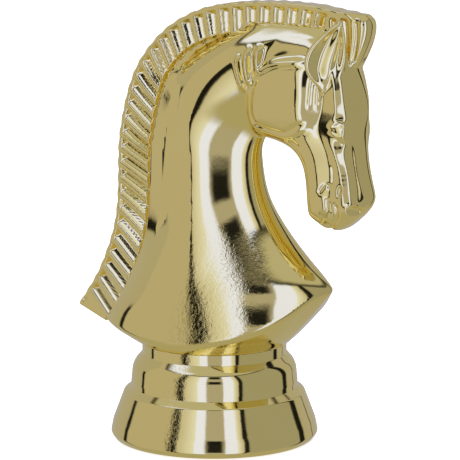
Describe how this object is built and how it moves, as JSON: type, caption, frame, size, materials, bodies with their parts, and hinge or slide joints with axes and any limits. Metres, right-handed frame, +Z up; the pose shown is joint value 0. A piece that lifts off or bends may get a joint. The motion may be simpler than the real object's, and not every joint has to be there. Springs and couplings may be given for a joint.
{
  "type": "chess knight figure",
  "caption": "Mirror-gold horse-head knight on a stepped round foot with a captive nut, made to screw onto a trophy column.",
  "frame": {"origin": "centre of the foot's underside, on the axis of the trophy rod", "axes": "+X the way the horse looks, +Y the horse's left, +Z up"},
  "size_m": [0.0639, 0.0398, 0.0844],
  "materials": {
    "bust_gold": "vacuum-metallised mirror gold under clear lacquer",
    "foot_gold": "vacuum-metallised mirror gold under clear lacquer",
    "inner_plastic": "natural moulded plastic",
    "zinc_steel": "zinc plated",
    "pin_steel": "plain steel"
  },
  "bodies": {
    "root": {"right_half_shell": "bust_gold", "left_half_shell": "bust_gold", "foot_shell": "foot_gold", "foot_core": "inner_plastic", "neck_plug": "inner_plastic", "captive_nut": "zinc_steel", "clamp_screws": "zinc_steel", "locating_pins": "pin_steel"}
  },
  "joints": []
}
